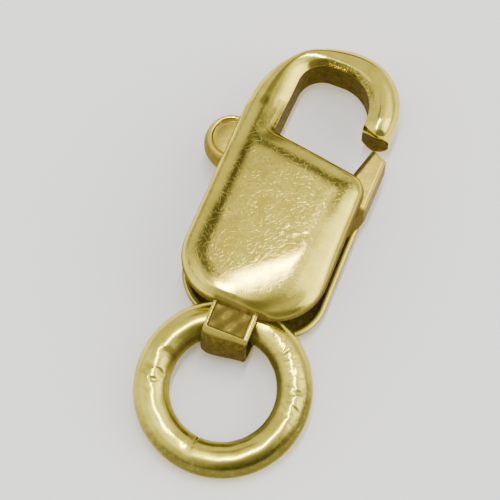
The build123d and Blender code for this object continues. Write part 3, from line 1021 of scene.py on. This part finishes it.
def gold(name, colour, rough, matte, cut=0.85, dents=()):
    """Gold with matte flats, olive bands and brown grime that are partly painted shade, painted glints on
    pale scratches, cloudy tone and scratches, led by the mesh's marks.
    """
    paint = Paint(bpy.data.materials.new(name), "BSDF_PRINCIPLED")
    flat, olive, dirt_and_shade_mark = (paint.mark(word) for word in ("flat", "olive", "dirt_and_shade"))
    cloud, patchy = paint.noise(1.3, 4.0, 0.6), paint.noise(6.0, 6.0, 0.7)
    light_hairs, dark_hairs = (scratches(paint, layers) for layers in (LIGHT_HAIRS, DARK_HAIRS))
    grain = paint.noise(9.0, 3.0, 0.6)
    grooves = light_hairs + dark_hairs
    # The olive mark, dull metal and painted shade, is broken up by noise and cut by the pale hairs.
    broken = (olive * (1.05 + 1.5 * (patchy - 0.5) - cut * light_hairs)).at_least(0).at_most(1)
    # The dirt mark is brown grime and painted shade in creases, hollows and on faces turned from the light.
    stain_and_shade = (dirt_and_shade_mark * (0.60 + 0.8 * patchy)).at_most(1)
    stain_and_shade = stain_and_shade.at_least(0.45 * paint.noise(2.2, 5.0, 0.7).step(0.68, 0.80))
    tone = paint.mix(cloud.step(0.35, 0.70), colour, shade(colour, 0.84, 0.80, 0.66))
    tone = paint.mix(flat * 0.9 * grain.step(0.45, 0.75), tone, shade(colour, 0.80, 0.70, 0.60))
    # Painted glints: the colour is lifted along the pale hairs.
    tone = paint.mix(light_hairs * (0.03 + 0.11 * flat), tone, (0.97, 0.88, 0.42, 1))
    tone = paint.mix(dark_hairs * (0.04 + 0.24 * flat), tone, (0.30, 0.22, 0.05, 1))
    # Painted shade and dulling: deep olive on the olive mark, brown on the dirt mark.
    tone = paint.mix(broken * 0.85, tone, (0.065, 0.054, 0.014, 1))
    brown = paint.mix(patchy.step(0.40, 0.62), (0.042, 0.028, 0.005, 1), (0.115, 0.076, 0.014, 1))
    tone = paint.mix(stain_and_shade * 0.95, tone, brown)
    paint.set("Base Color", tone)
    paint.set("Metallic", 1 - 0.85 * stain_and_shade)
    paint.set("Specular IOR Level", 0.0)
    paint.set("Specular Tint", (0.95, 0.86, 0.60, 1))
    dulled = matte * flat * (0.6 + 0.8 * patchy)
    paint.set("Roughness", rough + dulled + 0.08 * broken + 0.09 * stain_and_shade + 0.05 * cloud)
    relief = 0.34 * paint.noise(2.2, 2.0) + 0.05 * patchy - grooves * (0.008 + 0.020 * flat + 0.015 * olive)
    relief = relief - 0.20 * stain_and_shade
    x, y, _ = paint.axes()
    for px, py, wide, depth in dents:
        reach = ((x - px) * (x - px) + (y - py) * (y - py)) ** 0.5
        relief = relief - depth * (1 - reach.step(0.35 * wide, wide))
    bump = paint.node("ShaderNodeBump", {}, {"Strength": 0.5, "Distance": 0.00003, "Height": relief})
    paint.set("Normal", bump)
    print(f"{name}: {len(paint.tree.nodes)} nodes")
    return paint.material


# %% The three golds and their pieces
# Each dent: its place in x and y, its width and its depth.
CASE_DENTS = [
    (0.68, 0.71, 0.17, 0.26), (1.06, 0.51, 0.21, 0.30), (1.30, 0.72, 0.15, 0.24),
    (1.57, 0.55, 0.19, 0.26), (0.58, 0.39, 0.13, 0.20), (1.62, 1.06, 0.14, 0.20),
    (-0.40, 2.10, 0.11, 0.15), (0.35, -0.60, 0.12, 0.15),
]
case_gold = gold("Clasp_Gold", (0.82, 0.685, 0.10, 1), 0.08, 0.05, 0.85, CASE_DENTS)
lever_gold = gold("Lever_Gold", (0.86, 0.67, 0.10, 1), 0.16, 0.05, 0.3)
ring_gold = gold("Ring_Gold", (0.82, 0.715, 0.105, 1), 0.15, 0.05, 0.15)
FINISHES = [
    (case_gold, "case_gold", (body, strip)),
    (lever_gold, "lever_gold", (gate, bar, tab, hub)),
    (ring_gold, "ring_gold", (ring,)),
]
for finish, slot, pieces in FINISHES:
    for piece in pieces:
        piece.data.materials.append(finish)
pin = frame["nodes"]["pivot_pin"]
pin.data.materials.clear()
pin.data.materials.append(case_gold)

# %% [markdown]
# ## Floor, light and camera
#
# Polished metal shows its surroundings, so the light is placed by its reflections. A long narrow
# lamp overhead gives the white band low on the front, and a large one on the right gives the warm
# shoulder. The sky holds broad dark and pale areas, which shade the rounded edges. One lamp alone
# would light the floor as well, but the gold would look flat. The camera has the photo's angles.

# %% The floor
FLOOR_REACH = 0.6
floor_mesh = bpy.data.meshes.new("Studio_Floor")
corners = [(-FLOOR_REACH, -FLOOR_REACH, 0), (FLOOR_REACH, -FLOOR_REACH, 0)]
corners += [(-x, -y, z) for x, y, z in corners]
floor_mesh.from_pydata(corners, [], [(0, 1, 2, 3)])
floor = bpy.data.objects.new("Studio_Floor", floor_mesh)
bpy.context.scene.collection.objects.link(floor)
floor_paint = Paint(bpy.data.materials.new("Pale_Floor"), "BSDF_PRINCIPLED")
floor_paint.set("Base Color", (0.93, 0.92, 0.90, 1))
floor_paint.set("Roughness", 0.85)
floor_mesh.materials.append(floor_paint.material)
print("floor, metres across:", 2 * FLOOR_REACH)


# %% Lamps
def lamp(name, place, size, watts):
    """A flat rectangular lamp at a place in millimetres, turned towards the clasp's middle."""
    light = bpy.data.lights.new(name, "AREA")
    light.shape, light.size, light.size_y = "RECTANGLE", size[0] / 1000, size[1] / 1000
    light.energy = watts
    holder = bpy.data.objects.new(name, light)
    holder.location = (Vector(place) + Vector(SHIFT)) / 1000
    holder.rotation_euler = (-Vector(place)).to_track_quat("-Z", "Y").to_euler()
    bpy.context.scene.collection.objects.link(holder)
    print(f"{name}: {size[0]} by {size[1]} mm")


def direction(azimuth, elevation, distance):
    """A place seen from the clasp at an azimuth from -y towards +x and an elevation, in millimetres."""
    a, e = radians(azimuth), radians(elevation)
    return (distance * sin(a) * cos(e), -distance * cos(a) * cos(e), distance * sin(e))


lamp("Hot_Lamp", (0, -6, 150), (9, 100), 0.145)
lamp("Right_Lamp", direction(100, 40, 150), (110, 130), 0.06)

# %% The sky
# Each screen or panel: its strength, the direction it stands in, and its inner and outer angle.
SCREENS = [
    (0.78, (0.55, -0.67, 0.50), 20, 46),
    (0.85, (-0.30, 0.95, -0.10), 15, 34),
    (0.70, (-0.38, 0.44, 0.81), 6, 15),
]
PANELS = [
    (1.0, (0.50, 0.34, 0.80), 13, 31),
    (0.65, (-0.75, -0.45, 0.40), 15, 45),
    (1.2, (0.84, 0.08, 0.54), 8, 30),
    (1.2, (-0.24, -0.32, 0.92), 5, 19),
    (0.35, (0.02, 0.02, 1.0), 5, 14),
]
SKY_LEVEL, SKY_FLOOR = 0.92, 0.05


def studio_sky():
    """An even sky, less its dark screens, plus a floor value and the pale panels, each a smooth lobe."""
    world = bpy.data.worlds.new("Studio")
    sky = Paint(world, "BACKGROUND", "Generated")

    def lobe(way, inner, outer):
        """1 within the inner angle of a direction, falling smoothly to 0 at the outer angle."""
        cosine = sky.vector("DOT_PRODUCT", sky.place, way, output=1)
        return cosine.step(cos(radians(outer)), cos(radians(inner)))

    light = SKY_LEVEL
    for depth, *where in SCREENS:
        light = light * (1 - depth * lobe(*where))
    light = light + SKY_FLOOR
    for strength, *where in PANELS:
        light = light + strength * lobe(*where)
    sky.set("Color", (1, 1, 1, 1))
    sky.set("Strength", light)
    return world


bpy.context.scene.world = studio_sky()
print("sky:", len(SCREENS), "dark screens and", len(PANELS), "pale panels")

# %% The camera
SENSOR, FOCAL_PIXELS, PICTURE_PIXELS = 36, 2833, 500
VIEW_AZIMUTH, VIEW_ELEVATION, VIEW_DISTANCE = 22.5, 69, 100
VIEW_AIM = (-0.5, 0, 0)
camera = bpy.data.cameras.new("Photo_View")
camera.sensor_width, camera.lens = SENSOR, FOCAL_PIXELS / PICTURE_PIXELS * SENSOR
camera.clip_start, camera.clip_end = 0.001, 10
viewer = bpy.data.objects.new("Photo_View", camera)
aim = (Vector(VIEW_AIM) + Vector(SHIFT)) / 1000
back = Vector(direction(VIEW_AZIMUTH, VIEW_ELEVATION, VIEW_DISTANCE)) / 1000
viewer.location = aim + back
viewer.rotation_euler = (-back).to_track_quat("-Z", "Y").to_euler()
bpy.context.scene.collection.objects.link(viewer)
bpy.context.scene.camera = viewer
print("camera lens, mm:", round(camera.lens, 2))
